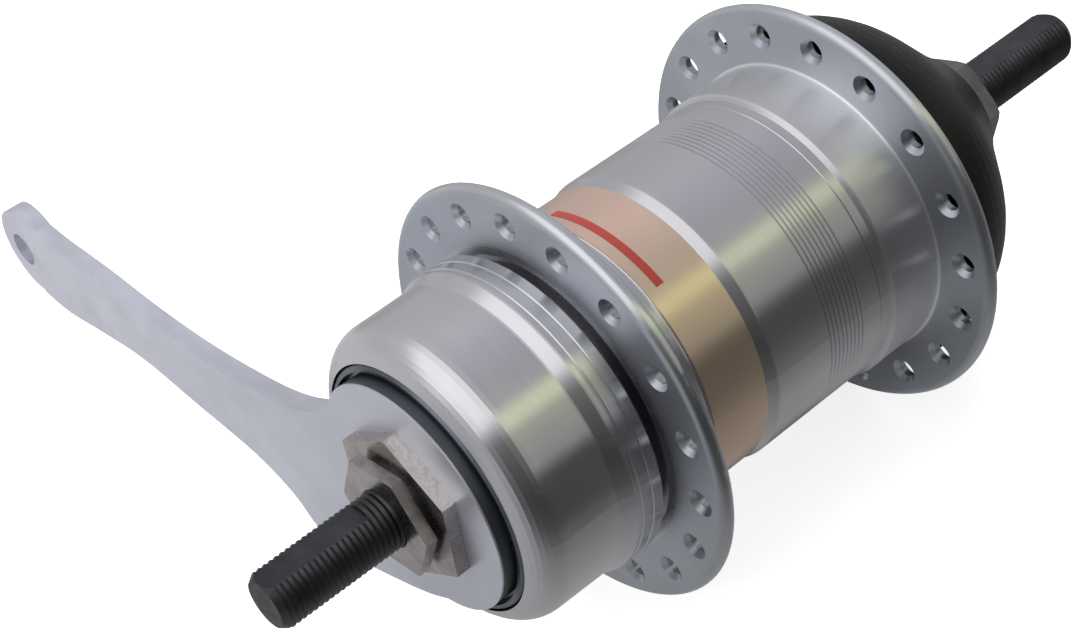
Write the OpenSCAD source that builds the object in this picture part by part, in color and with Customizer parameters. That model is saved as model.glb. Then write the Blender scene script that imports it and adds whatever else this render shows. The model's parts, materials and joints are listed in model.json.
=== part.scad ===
// Internal gear hub with a coaster brake, for a 36 spoke wheel and a solid axle.
// Millimetres. +Y runs along the axle to the drive side, -X along the brake arm, +Z is up.
// The origin lies on the axle, midway between the outer faces of the two locknuts.

/* [Axle and nuts] */
// Diameter of the solid axle
axle_d = 9.5; // [9:0.1:10]
// Full length of the axle
axle_l = 175; // [168:1:184]
// Length of axle outside the brake side locknut
axle_left_out = 21.3; // [18:0.1:24]
// Distance between the outer faces of the two locknuts
over_locknuts = 127; // [126:0.5:130]
// Width across the two flats at each end of the axle
axle_flats = 7.8; // [7.6:0.1:8.6]
// Length of axle left round between each locknut and the flats
axle_round_l = 3.3; // [2:0.1:6]
// Width of the thread run-out groove where the flats begin
groove_w = 0.5; // [0.5:0.1:1]
// Width across flats of both locknuts
locknut_af = 17; // [15:0.5:18]
// Thickness of the brake side locknut
left_locknut_t = 2; // [1.6:0.1:2.4]
// Thickness of the washer under the brake side locknut
left_washer_t = 0.8; // [0.5:0.1:1.2]
// Width across flats of the nut that clamps the brake arm
arm_nut_af = 22.6; // [21:0.2:24]
// Thickness of that nut
arm_nut_t = 2.4; // [2:0.1:2.8]
// Thickness of the drive side locknut
right_locknut_t = 4; // [3.4:0.1:4.6]
// Thickness of the washer under the drive side locknut
right_washer_t = 1; // [0.6:0.1:1.4]
// Diameter at which the locknut threads are drawn, the mean of their thread
thread_mean_d = 8.9; // [8.7:0.05:9]
// Diameter of the gear rod bore in the drive side of the axle
gear_rod_d = 5.2; // [4.8:0.1:5.4]

/* [Brake arm] */
// Thickness of the brake arm
arm_t = 3.6; // [3:0.1:4]
// Distance from the axle to the clip hole at the arm's tip
arm_reach = 116; // [108:1:124]
// Diameter of the clip hole
clip_hole_d = 6.4; // [5.2:0.1:7]
// Radius of the arm's round tip
arm_tip_r = 8.5; // [7.5:0.1:9]
// Radius of the arm's round end plate at the hub
arm_plate_r = 19.2; // [18.6:0.1:19.4]

/* [Shell] */
// Diameter of both spoke flanges
flange_d = 71.6; // [68:0.2:76]
// Thickness of a flange
flange_t = 2.6; // [2.4:0.1:3]
// Distance between the flange centres
flange_spacing = 58.1; // [57.6:0.1:58.8]
// Spoke holes in one flange
holes_a_side = 18; // [14:1:18]
// Distance from the spoke hole circle to the flange's rim
spoke_edge = 4.8; // [4.4:0.1:5.2]
// Diameter of a spoke hole
spoke_hole_d = 2.9; // [2.4:0.1:3]
// Outer radius of the barrel
barrel_r = 25.25; // [25:0.05:25.6]
// Wall of the barrel
shell_wall = 2.85; // [2.6:0.05:3]
// Step up from the barrel to the collar beside the drive side flange
collar_step = 0.75; // [0.5:0.05:1]
// Number of fine grooves round the barrel
groove_count = 9; // [5:1:9]
// Distance from one groove to the next
groove_pitch = 0.875; // [0.7:0.025:1]
// Depth of a groove
groove_depth = 0.25; // [0.1:0.05:0.4]
// Width of the printed band
label_w = 10.8; // [8:0.2:12]
// Thickness of the printed band
label_t = 0.15; // [0.1:0.05:0.3]
// Width of the stripe on the band
stripe_w = 1.4; // [0.8:0.1:1.8]

/* [Brake] */
// Step down from the barrel to the brake drum
drum_step = 0.05; // [0:0.05:0.2]
// Wall of the brake drum
drum_wall = 1.7; // [1.6:0.05:1.9]
// Step up from the drum to its lip
lip_step = 0.8; // [0.5:0.05:1]
// Radius of the drum's rounded shoulder
drum_shoulder_r = 5.5; // [5.2:0.1:5.8]
// Number of brake shoes, each with its roller and its ramp
shoe_count = 3; // [3:1:3]
// Turn of the brake cam from free to full brake, in degrees
cam_turn = 15; // [12:1:16]
// Outward travel of a shoe
shoe_travel = 0.5; // [0.4:0.05:0.5]
// Radius of a brake roller
roller_r = 2.4; // [2.2:0.05:2.5]

/* [Gears] */
// Gear module
gear_m = 0.85; // [0.84:0.005:0.86]
// Teeth of the sun gear, which is fixed to the axle
sun_teeth = 16; // [16:1:16]
// Teeth of each planet gear
planet_teeth = 14; // [14:1:14]
// Number of planet gears
planet_count = 4; // [4:1:4]
// Thickness of the gear wheels
gear_w = 14.4; // [12:0.2:14.6]
// Teeth of each ratchet ring
ratchet_teeth = 30; // [30:1:30]
// Thinning of each tooth along the pitch circle
backlash = 0.12; // [0.08:0.01:0.16]
// Travel of the clutch along the axle
clutch_travel = 3; // [2:0.25:3]

/* [Bearings] */
// Radius of the large bearing balls
big_ball_r = 3.175; // [3.1:0.025:3.2]
// Radius of the small bearing balls
small_ball_r = 1.98; // [1.9:0.01:2]
// Balls in the brake side bearing
left_ball_count = 10; // [8:1:11]
// Balls between the driver and the shell
outer_ball_count = 20; // [16:1:24]
// Balls between the driver and its cone
inner_ball_count = 8; // [6:1:9]

/* [Dust cover] */
// Largest outer radius of the cover over the driver
cover_r = 30.3; // [30:0.1:31]
// Wall of that cover
cover_wall = 1.3; // [1:0.1:1.5]

/* [Fits] */
// Radial clearance of a shaft that turns or slides in its bore
run_fit = 0.05; // [0.03:0.01:0.08]
// Clearance round a ball in its races
ball_fit = 0.05; // [0.03:0.01:0.08]
// Clearance between faces that pass each other
face_gap = 0.3; // [0.2:0.05:0.4]

/* [Hidden] */
$fn = 64;

// Stations along the axle, from the brake side to the drive side
left_face = -over_locknuts / 2;
axle_left = left_face - axle_left_out;
left_flats_to = left_face - axle_round_l;
axle_right = axle_left + axle_l;
left_nut_in = left_face + left_locknut_t;
left_washer_in = left_nut_in + left_washer_t;
arm_out = left_washer_in + arm_nut_t;
arm_in = arm_out + arm_t;
cap_t = 0.8;
cap_in = arm_in + cap_t;
left_ball_at = cap_in + 4.4;
drum_face = arm_in - 1.4;
left_flange_mid = -0.85 - flange_spacing / 2;
right_flange_mid = left_flange_mid + flange_spacing;
left_flange_out = left_flange_mid - flange_t / 2;
left_flange_in = left_flange_mid + flange_t / 2;
right_flange_in = right_flange_mid - flange_t / 2;
right_flange_out = right_flange_mid + flange_t / 2;
right_face = over_locknuts / 2;
right_flats_from = right_face + axle_round_l;
right_nut_in = right_face - right_locknut_t;
right_washer_in = right_nut_in - right_washer_t;
shell_end = right_flange_out + 4.5;
spoke_pcd = flange_d - 2 * spoke_edge;
collar_r = barrel_r + collar_step;
shell_bore_r = barrel_r - shell_wall;
cup_bore_r = shell_bore_r + 1.4;
drum_r = barrel_r - drum_step;
drum_lip_r = drum_r + lip_step;

// Brake side bearing and brake
axle_r = axle_d / 2;
thread_mean_r = thread_mean_d / 2;
boss_r = 9.5;
boss_flats = 16;
left_pitch_r = 13.5;
left_cone_r = 10.3;
spigot_r = 8;
cup_lip = left_ball_at + big_ball_r + 0.1;
cup_end = cup_lip + 1;
carrier_at = cup_end + face_gap;
carrier_t = 1;
brake_at = carrier_at + carrier_t + 0.4;
lip_at = left_flange_out - 2;
lip_from = lip_at - 5.6;
drum_slope_w = 2;
lip_groove = 0.15;
neck_wall = 1.4;
neck_in = left_flange_in + 2.6;
brake_end = lip_at - 1.1;
shoe_w = brake_end - brake_at - face_gap;
drum_bore_r = drum_r - drum_wall;
shoe_out_r = drum_bore_r - shoe_travel - 0.1;
cam_r = 13.4;
cam_lift = shoe_travel / cam_turn;
roller_gap = 0.12;
roller_at_r = cam_r + roller_gap + roller_r;
shoe_in_r = roller_at_r + roller_r + 0.08;
shoe_half = 54;
tab_half = 3.5;
garter_r = shoe_out_r - 1;
garter_wire = 0.45;
garter_at = brake_at + shoe_w / 2;
opening_r = 21.1;
cap_r = opening_r - face_gap;
shoulder_mid_r = drum_r - 0.1 - drum_shoulder_r;

// Gear train
ring_teeth = sun_teeth + 2 * planet_teeth;
sun_pitch_r = gear_m * sun_teeth / 2;
planet_pitch_r = gear_m * planet_teeth / 2;
ring_pitch_r = gear_m * ring_teeth / 2;
planet_at_r = sun_pitch_r + planet_pitch_r;
pressure = 25;
addendum = 0.85 * gear_m;
dedendum = 1.1 * gear_m;
gears_from = -6.2;
gears_to = gears_from + gear_w;
plate_gap = 0.4;
plate_t = 3;
plate_r = ring_pitch_r - addendum - 0.8;
pin_r = 2;
ring_out_r = shell_bore_r - 1;
web_from = gears_to + plate_gap + plate_t + 0.9;
web_l = 10;
web_to = web_from + web_l;

// Ratchets and pawls
ratchet_root_r = shell_bore_r - 1;
ratchet_tip_r = ratchet_root_r - 1.8;
ratchet_face = 24.3;
pawl_disc_r = ratchet_tip_r - 0.7;
pawl_pivot_r = 15;
pawl_w = 4.8;
pawl_pin_r = 0.9;
pawl_spring_r = pawl_disc_r - 0.55;
pawl_wire = 0.35;
cage_ratchet_at = neck_in + 0.2;
cage_ratchet_w = pawl_w + 0.4;
cage_pawl_at = cage_ratchet_at + 0.2;
ring_pawl_at = web_from + 2.5;
cage_disc_from = cage_pawl_at - 2.2;
cage_disc_to = cage_pawl_at + pawl_w + 2.2;

// Driver, clutch and drive side bearings
sleeve_r = 9.6;
sleeve_bore_r = 7;
clutch_ring_r = 6.8;
wing_w = 5;
wing_r = 14;
slot_side = 0.1;
clutch_t = 4;
clutch_at = web_from + 1.4;
key_t = 2.2;
key_w = 2.9;
key_half = 6.6;
key_at = clutch_at + clutch_t + 0.2;
fork_from = clutch_at - 0.7;
fork_to = clutch_at + clutch_t + clutch_travel + 1;
outer_ball_at = right_flange_mid + 1.8;
outer_pitch_r = shell_bore_r - 2.4;
race_r = outer_pitch_r + 0.8;
driver_r = 17.2;
seat_r = 17.3;
seat_from = outer_ball_at + 6;
seat_l = 5.5;
inner_ball_at = right_washer_in - 11.5;
inner_pitch_r = 10.4;
nose_r = 15.2;
nose_end = inner_ball_at + big_ball_r + 0.4;
cover_seat_r = 10.3;
cover_in = right_flange_out + 0.5;
cover_out = right_washer_in - 0.2;
spring_seat = seat_from - 8;
bell_r = 19.5;
bell_at = cover_in + 1.2;
bell_sum = cover_r - bell_r + bell_at + 1.41421 * bell_r;

// Brake side phase of the first spoke hole; the drive side is half a pitch on
spoke_phase = -11;
label_from = left_flange_in + 7.4;
label_to = label_from + label_w;
label_r = barrel_r - 0.75;

// The hub is drawn about a vertical axis, then laid along Y
module along_axle() { rotate([-90, 0, 0]) children(); }

module tube(outer, inner, from, to) {
    translate([0, 0, from]) difference() {
        cylinder(r = outer, h = to - from);
        translate([0, 0, -1]) cylinder(r = inner, h = to - from + 2);
    }
}

module bar(r, from, to) { translate([0, 0, from]) cylinder(r = r, h = to - from); }

module sector(outer, inner, half, from, to) {
    rotate([0, 0, -half]) rotate_extrude(angle = 2 * half)
        translate([inner, from]) square([outer - inner, to - from]);
}

module race(pitch_r, at, ball_r) {
    rotate_extrude() translate([pitch_r, at]) circle(r = ball_r + ball_fit);
}

module balls(pitch_r, at, ball_r, count, grow = 0) {
    for (i = [0:count - 1])
        rotate([0, 0, i * 360 / count]) translate([pitch_r, 0, at]) sphere(r = ball_r + grow);
}

module round_copies(count) {
    for (i = [0:count - 1]) rotate([0, 0, i * 360 / count]) children();
}

module hex_nut(across, bore_r, from, to, turn = 0, chamfer = 0.15) {
    corner = across / sqrt(3);
    difference() {
        intersection() {
            rotate([0, 0, turn]) translate([0, 0, from]) cylinder(r = corner, h = to - from, $fn = 6);
            rotate_extrude() polygon([
                [0, from], [corner - chamfer, from], [corner + 0.01, from + chamfer / 2],
                [corner + 0.01, to - chamfer / 2], [corner - chamfer, to], [0, to]
            ]);
        }
        bar(bore_r, from - 1, to + 1);
    }
}

function on_arc(mid, r, from, to, steps) =
    [for (i = [0:steps]) let (a = from + (to - from) * i / steps) mid + r * [cos(a), sin(a)]];

// A smooth curve through the given points
function bend(a, b, c, d, t) =
    0.5 * ((2 * b) + (c - a) * t + (2 * a - 5 * b + 4 * c - d) * t * t
        + (3 * b - a - 3 * c + d) * t * t * t);
function smooth(p, steps) = [
    for (i = [0:len(p) - 2], s = [0:steps - 1])
        bend(p[max(i - 1, 0)], p[i], p[i + 1], p[min(i + 2, len(p) - 1)], s / steps),
    p[len(p) - 1]
];

// Involute teeth
function roll(r, base) = let (a = acos(min(1, base / r))) tan(a) * 180 / PI - a;
function half_tooth(r, pitch_r, teeth, thin) =
    90 / teeth + roll(pitch_r, pitch_r * cos(pressure)) - roll(r, pitch_r * cos(pressure))
    - thin / 2 / pitch_r * 180 / PI;
function polar(r, a) = [r * cos(a), r * sin(a)];
function wheel(teeth, root_r, tip_r, thin, turn) = let (
    pitch_r = gear_m * teeth / 2,
    start = max(root_r, pitch_r * cos(pressure)),
    radii = [for (i = [0:4]) start + (tip_r - start) * i / 4]
) [
    for (k = [0:teeth - 1]) let (mid = turn + k * 360 / teeth) each concat(
        [polar(root_r, mid - half_tooth(start, pitch_r, teeth, thin) - 0.2)],
        [for (i = [0:4]) polar(radii[i], mid - half_tooth(radii[i], pitch_r, teeth, thin))],
        [for (i = [4:-1:0]) polar(radii[i], mid + half_tooth(radii[i], pitch_r, teeth, thin))],
        [polar(root_r, mid + half_tooth(start, pitch_r, teeth, thin) + 0.2)]
    )
];

module gear(teeth, bore_r, turn) {
    pitch_r = gear_m * teeth / 2;
    difference() {
        translate([0, 0, gears_from]) linear_extrude(height = gear_w)
            polygon(wheel(teeth, pitch_r - dedendum, pitch_r + addendum, backlash, turn));
        bar(bore_r, gears_from - 1, gears_to + 1);
    }
}

// Saw teeth of a ratchet ring, as the outline of its opening
function saw() = [
    for (k = [0:ratchet_teeth - 1]) let (a = k * 360 / ratchet_teeth - ratchet_face)
        each [polar(ratchet_tip_r, a), polar(ratchet_root_r, a - 0.4)]
];

module pawl(from) {
    difference() {
        union() {
            translate([pawl_pivot_r, 0, 0]) bar(1.7, from, from + pawl_w);
            translate([0, 0, from]) linear_extrude(height = pawl_w)
                polygon([[16.6, 0.5], [16.6, -6], [16.2, -8.4], [14.9, -8.4], [13.9, -4], [13.4, 0.5]]);
        }
        translate([pawl_pivot_r, 0, 0]) bar(pawl_pin_r + run_fit, from - 1, from + pawl_w + 1);
    }
}

module pawl_pins(from, to) { round_copies(2) translate([pawl_pivot_r, 0, 0]) bar(pawl_pin_r, from, to); }

module pawl_springs(at) {
    round_copies(2) rotate([0, 0, 9]) rotate_extrude(angle = 130)
        translate([pawl_spring_r, at]) circle(r = pawl_wire);
}

// Pockets, pin holes and wire groove that two pawls need in their disc
module pawl_cuts(from, pins_from, pins_to) {
    round_copies(2) translate([13.1, -9.2, from - 0.2]) cube([8, 11.6, pawl_w + 0.4]);
    pawl_pins(pins_from, pins_to);
    tube(pawl_disc_r + 1, pawl_spring_r - pawl_wire,
        from + pawl_w / 2 - pawl_wire - 0.05, from + pawl_w / 2 + pawl_wire + 0.05);
}

module axle_flat_cuts(from, to) {
    for (side = [0, 1]) mirror([0, side, 0])
        translate([-axle_d, axle_flats / 2, from]) cube([2 * axle_d, axle_d, to - from]);
}

module axle() {
    color([0.16, 0.16, 0.17]) along_axle() difference() {
        rotate_extrude() polygon([
            [0, axle_left], [axle_r - 0.9, axle_left], [axle_r, axle_left + 1],
            [axle_r, left_flats_to - groove_w], [thread_mean_r, left_flats_to - groove_w],
            [thread_mean_r, left_flats_to], [axle_r, left_flats_to],
            [axle_r, left_face], [thread_mean_r, left_face],
            [thread_mean_r, left_nut_in], [axle_r, left_nut_in],
            [axle_r, right_nut_in], [thread_mean_r, right_nut_in],
            [thread_mean_r, right_face], [axle_r, right_face],
            [axle_r, right_flats_from], [thread_mean_r, right_flats_from],
            [thread_mean_r, right_flats_from + groove_w], [axle_r, right_flats_from + groove_w],
            [axle_r, axle_right - 1], [axle_r - 0.9, axle_right], [0, axle_right]
        ]);
        axle_flat_cuts(axle_left - 1, left_flats_to);
        axle_flat_cuts(right_flats_from, axle_right + 1);
        bar(gear_rod_d / 2, key_at + key_t + 0.1, axle_right + 1);
        translate([-axle_d, -key_w / 2 - 0.05, key_at - 0.3])
            cube([2 * axle_d, key_w + 0.1, key_t + clutch_travel + 0.6]);
    }
}

module sun_gear() { color([0.62, 0.62, 0.64]) along_axle() gear(sun_teeth, axle_r, 0); }

// Countersink that clears the axle's full diameter at the outer face of a locknut
module nut_lead() {
    depth = axle_r + 0.2 - thread_mean_r;
    translate([0, 0, left_face - 0.1])
        cylinder(h = depth + 0.1, r1 = thread_mean_r + depth + 0.1, r2 = thread_mean_r);
}

module left_locknut() {
    color([0.55, 0.5, 0.45]) along_axle() difference() {
        hex_nut(locknut_af, thread_mean_r, left_face, left_nut_in);
        nut_lead();
    }
}

module left_washer() {
    color([0.2, 0.2, 0.21]) along_axle() tube(locknut_af / 2 - 0.4, axle_r, left_nut_in, left_washer_in);
}

module brake_arm_nut() {
    color([0.55, 0.5, 0.45]) along_axle() hex_nut(arm_nut_af, axle_r, left_washer_in, arm_out, -24.8);
}

// Boss that stops the brake arm from turning
module arm_boss(grow, from, to) {
    intersection() {
        bar(boss_r + grow, from, to);
        translate([-boss_r - 1, -boss_flats / 2 - grow, from])
            cube([2 * boss_r + 2, boss_flats + 2 * grow, to - from]);
    }
}

module arm_outline() {
    stretch = arm_reach - 116;
    top = smooth([
        [-115 - stretch, -8.2], [-104, -5.6], [-88, -4], [-72, -1.8], [-55, -0.9],
        [-36, -2], [-24, -5], [-15, -10.2]
    ], 5);
    low = smooth([
        [5, 17.6], [-4, 21.2], [-16, 24], [-27, 25.9], [-34, 24.4], [-39, 19.4], [-48, 15.3],
        [-64, 12.4], [-80, 9.6], [-94, 9.7], [-106, 10.2], [-114 - stretch, 8.8]
    ], 5);
    circle(r = arm_plate_r);
    translate([-arm_reach + 2, -0.2]) circle(r = arm_tip_r);
    polygon(concat(top, [[0, 0]], low));
}

module brake_arm() {
    color([0.72, 0.72, 0.76]) along_axle() difference() {
        translate([0, 0, arm_out]) linear_extrude(height = arm_t) arm_outline();
        arm_boss(0.05, arm_out - 1, arm_in + 1);
        translate([-arm_reach, 0, 0]) bar(clip_hole_d / 2, arm_out - 1, arm_in + 1);
        // The back of the arm stands clear of the turning drum's face and rounded shoulder
        rotate_extrude() polygon(concat(
            [[arm_plate_r + 0.05, drum_face - face_gap]],
            on_arc([shoulder_mid_r, drum_face + drum_shoulder_r], drum_shoulder_r + face_gap, 270, 330, 6),
            [[drum_r + 1, arm_in + 1], [arm_plate_r + 0.05, arm_in + 1]]
        ));
    }
}

module left_dust_cap() {
    color([0.24, 0.26, 0.29]) along_axle() rotate_extrude() polygon([
        [boss_r, arm_in], [arm_plate_r + 0.4, arm_in], [arm_plate_r + 0.7, drum_face],
        [cap_r - 0.4, drum_face], [cap_r, drum_face + 0.4], [cap_r, cap_in], [boss_r, cap_in]
    ]);
}

module left_cone() {
    color([0.6, 0.6, 0.62]) along_axle() difference() {
        union() {
            arm_boss(0, arm_out, arm_in);
            bar(boss_r, arm_in, cap_in);
            bar(left_pitch_r - 0.5, cap_in, left_ball_at - 0.8);
            bar(left_cone_r, left_ball_at - 1, cup_lip);
            bar(spigot_r, cup_lip - 1, brake_end);
        }
        race(left_pitch_r, left_ball_at, big_ball_r);
        bar(axle_r, axle_left, axle_right);
    }
}

module shoe_carrier() {
    tab_r = garter_r - garter_wire - 0.15;
    color([0.5, 0.5, 0.52]) along_axle() union() {
        tube(tab_r, spigot_r, carrier_at, carrier_at + carrier_t);
        round_copies(shoe_count) rotate([0, 0, 180 / shoe_count])
            sector(tab_r - 0.01, shoe_in_r + 0.3, tab_half, carrier_at + 0.3, brake_end - 0.4);
    }
}

module right_cone() {
    color([0.6, 0.6, 0.6]) along_axle() difference() {
        union() {
            bar(inner_pitch_r - big_ball_r, inner_ball_at - 3.5, inner_ball_at + 2);
            bar(inner_pitch_r - 0.4, inner_ball_at + 1.2, nose_end + 0.6);
            bar(cover_seat_r, nose_end + 0.5, right_washer_in);
        }
        race(inner_pitch_r, inner_ball_at, big_ball_r);
        bar(axle_r, axle_left, axle_right);
    }
}

module right_washer() {
    color([0.5, 0.5, 0.49]) along_axle() tube(cover_seat_r - 0.2, axle_r, right_washer_in, right_nut_in);
}

module right_locknut() {
    color([0.5, 0.5, 0.49]) along_axle() difference() {
        hex_nut(locknut_af, thread_mean_r, right_nut_in, right_face, -10, 0.9);
        mirror([0, 0, 1]) nut_lead();
    }
}

module flange(mid) {
    rim = flange_t / 2;
    bar(flange_d / 2 - rim, mid - rim, mid + rim);
    rotate_extrude() translate([flange_d / 2 - rim, mid]) circle(r = rim);
}

module spoke_holes(mid, phase) {
    rim = flange_t / 2;
    hole_r = spoke_hole_d / 2;
    sink = 0.8;
    for (i = [0:holes_a_side - 1])
        rotate([0, 0, phase + i * 360 / holes_a_side]) translate([spoke_pcd / 2, 0, mid]) {
            bar(hole_r, -rim - 1, rim + 1);
            for (side = [0, 1]) mirror([0, 0, side]) translate([0, 0, rim + 0.01 - sink])
                cylinder(r1 = hole_r, r2 = hole_r + sink, h = sink);
        }
}

module hub_shell() {
    left_root = barrel_r + 0.45;
    collar_at = right_flange_in - 10.4;
    grooves_at = collar_at - 6.4 - (groove_count - 1) * groove_pitch;
    drum_recess_r = shell_bore_r + 2.4;
    color([0.74, 0.75, 0.76]) along_axle() difference() {
        union() {
            flange(left_flange_mid);
            flange(right_flange_mid);
            rotate_extrude() polygon(concat(
                [[1, left_flange_out], [left_root + 2.5, left_flange_out]],
                on_arc([left_root + 2.5, left_flange_in + 2.5], 2.5, 270, 180, 6),
                [
                    [left_root, label_from - 2.4], [left_root - 0.25, label_from - 1.9],
                    [label_r + 0.55, label_from - 0.9], [label_r - 0.1, label_from - 0.6],
                    [label_r - 0.1, label_from - 0.2], [label_r, label_from],
                    [label_r, label_to + 0.1], [barrel_r - 0.04, label_to + 1.8],
                    [barrel_r, label_to + 2.1],
                    [barrel_r, collar_at - 2.3], [barrel_r - 0.08, collar_at - 2.15],
                    [barrel_r, collar_at - 2],
                    [barrel_r, collar_at - 0.4], [collar_r, collar_at + 0.3]
                ],
                on_arc([collar_r + 0.3, right_flange_in - 0.3], 0.3, 180, 90, 3),
                [[collar_r + 1.5, right_flange_in], [collar_r + 1.5, shell_end], [1, shell_end]]
            ));
        }
        bar(shell_bore_r, left_flange_out - 1, shell_end + 1);
        bar(cup_bore_r, web_from + 1.4, shell_end + 1);
        bar(drum_recess_r, left_flange_out - 1, left_flange_in + 0.4);
        for (i = [0:groove_count - 1]) let (at = grooves_at + i * groove_pitch)
            rotate_extrude() polygon([
                [barrel_r + 0.1, at - 0.26], [barrel_r + 0.1, at + 0.26],
                [barrel_r - groove_depth, at + 0.08], [barrel_r - groove_depth, at - 0.08]
            ]);
        spoke_holes(left_flange_mid, spoke_phase);
        spoke_holes(right_flange_mid, spoke_phase + 180 / holes_a_side);
    }
}

module brake_drum() {
    shoulder_mid = drum_face + drum_shoulder_r;
    inner_r = drum_shoulder_r - drum_wall;
    color([0.78, 0.79, 0.8]) along_axle() difference() {
        rotate_extrude() polygon(concat(
            [[1, drum_face]],
            on_arc([shoulder_mid_r, shoulder_mid], drum_shoulder_r, 270, 360, 10),
            [
                [drum_r, lip_from - drum_slope_w - 0.3], [drum_r + 0.05, lip_from - drum_slope_w],
                [drum_lip_r - 0.05, lip_from], [drum_lip_r, lip_from + 0.3]
            ],
            [for (at = [lip_from + 1.2, lip_at - 2.3], k = [0:3])
                [drum_lip_r - (k == 1 || k == 2 ? lip_groove : 0), at + [-0.25, -0.08, 0.08, 0.25][k]]],
            [
                [drum_lip_r, lip_at - 0.4], [drum_lip_r - 0.4, lip_at],
                [shell_bore_r, lip_at], [shell_bore_r, neck_in], [1, neck_in]
            ]
        ));
        rotate_extrude() polygon(concat(
            [[0, drum_face + drum_wall]],
            on_arc([shoulder_mid_r, shoulder_mid], inner_r, 270, 360, 8),
            [
                [drum_bore_r, shoulder_mid + 0.5], [drum_bore_r, brake_end],
                [shell_bore_r - neck_wall, brake_end + 0.01], [shell_bore_r - neck_wall, neck_in + 1],
                [0, neck_in + 1]
            ]
        ));
        bar(opening_r, drum_face - 1, shoulder_mid);
    }
}

module left_ball_cup() {
    color([0.6, 0.6, 0.62]) along_axle() difference() {
        tube(drum_bore_r, left_pitch_r - 0.9, left_ball_at - 0.2, cup_end);
        race(left_pitch_r, left_ball_at, big_ball_r);
    }
}

module ratchet(outer, from, to) {
    translate([0, 0, from]) difference() {
        cylinder(r = outer, h = to - from);
        translate([0, 0, -1]) linear_extrude(height = to - from + 2) polygon(saw());
    }
}

module left_ratchet_ring() {
    color([0.55, 0.55, 0.57]) along_axle()
        ratchet(shell_bore_r, cage_ratchet_at, cage_ratchet_at + cage_ratchet_w);
}

module right_ratchet_cup() {
    teeth_to = ring_pawl_at + pawl_w + 2;
    color([0.55, 0.55, 0.57]) along_axle() difference() {
        union() {
            ratchet(cup_bore_r, web_from + 1.5, teeth_to);
            tube(cup_bore_r, ratchet_root_r - 0.4, teeth_to, outer_ball_at - 3);
            tube(cup_bore_r, outer_pitch_r - 0.7, outer_ball_at - 3, outer_ball_at - 0.1);
            tube(cup_bore_r, outer_pitch_r + small_ball_r + 0.3, outer_ball_at - 0.1, shell_end);
        }
        race(outer_pitch_r, outer_ball_at, small_ball_r);
    }
}

module label_band() {
    color([0.85, 0.72, 0.6]) along_axle() tube(label_r + label_t, label_r, label_from, label_to);
}

module label_stripe() {
    color([0.8, 0.24, 0.18]) along_axle() rotate([0, 0, -78])
        sector(label_r + label_t + 0.06, label_r + label_t, 26.5,
            label_from + 2, label_from + 2 + stripe_w);
}

module left_balls() {
    color([0.8, 0.8, 0.82]) along_axle()
        balls(left_pitch_r, left_ball_at, big_ball_r, left_ball_count);
}

module left_ball_retainer() {
    color([0.7, 0.6, 0.4]) along_axle() difference() {
        tube(left_pitch_r + 3.9, left_pitch_r + 1.1, left_ball_at - 2.1, left_ball_at - 0.9);
        balls(left_pitch_r, left_ball_at, big_ball_r, left_ball_count, 0.1);
    }
}

module outer_balls() {
    color([0.8, 0.8, 0.82]) along_axle()
        balls(outer_pitch_r, outer_ball_at, small_ball_r, outer_ball_count);
}

module outer_ball_retainer() {
    color([0.7, 0.6, 0.4]) along_axle() difference() {
        tube(outer_pitch_r - 1.1, driver_r + 0.4, outer_ball_at - 2.4, outer_ball_at - 1.1);
        balls(outer_pitch_r, outer_ball_at, small_ball_r, outer_ball_count, 0.1);
    }
}

module inner_balls() {
    color([0.8, 0.8, 0.82]) along_axle()
        balls(inner_pitch_r, inner_ball_at, big_ball_r, inner_ball_count);
}

module inner_ball_retainer() {
    color([0.7, 0.6, 0.4]) along_axle() difference() {
        tube(inner_pitch_r + 3, inner_pitch_r + 2, inner_ball_at + 1.6, inner_ball_at + 2.8);
        balls(inner_pitch_r, inner_ball_at, big_ball_r, inner_ball_count, 0.1);
    }
}

module planet_cage() {
    left_plate_to = gears_from - plate_gap;
    right_plate_from = gears_to + plate_gap;
    color([0.62, 0.62, 0.64]) along_axle() difference() {
        union() {
            bar(spigot_r, brake_end + 1.2, cage_disc_from + 1);
            bar(pawl_disc_r, cage_disc_from, cage_disc_to);
            bar(sleeve_r, cage_disc_to - 1, left_plate_to - 1);
            bar(plate_r, left_plate_to - plate_t - 1.4, left_plate_to);
            tube(plate_r, sun_pitch_r + addendum + 0.9, right_plate_from, right_plate_from + plate_t);
            round_copies(planet_count) rotate([0, 0, 180 / planet_count])
                sector(plate_r, planet_at_r + 0.25, 7, left_plate_to - 0.5, right_plate_from + 0.5);
        }
        bar(axle_r + run_fit, axle_left, left_plate_to + 1);
        round_copies(planet_count) translate([planet_at_r, 0, 0])
            bar(pin_r, left_plate_to - plate_t - 1.4, right_plate_from + plate_t + 1);
        pawl_cuts(cage_pawl_at, cage_disc_from, cage_disc_to);
    }
}

module planet_pins() {
    color([0.7, 0.7, 0.72]) along_axle() round_copies(planet_count) translate([planet_at_r, 0, 0])
        bar(pin_r, gears_from - plate_gap - plate_t - 1.4, web_from - 0.4);
}

module cage_pawl_pins() { color([0.7, 0.7, 0.72]) along_axle() pawl_pins(cage_disc_from, cage_disc_to); }

module cage_pawl_springs() { color([0.4, 0.4, 0.42]) along_axle() pawl_springs(cage_pawl_at + pawl_w / 2); }

module cage_pawl(i) { color([0.55, 0.55, 0.57]) along_axle() rotate([0, 0, 180 * i]) pawl(cage_pawl_at); }

// Each planet is turned so that gaps face the sun tooth and the ring tooth beside it
module planet_gear(i) {
    color([0.68, 0.68, 0.7]) along_axle() rotate([0, 0, i * 360 / planet_count])
        translate([planet_at_r, 0, 0]) gear(planet_teeth, pin_r + run_fit, 180 / planet_teeth);
}

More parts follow.
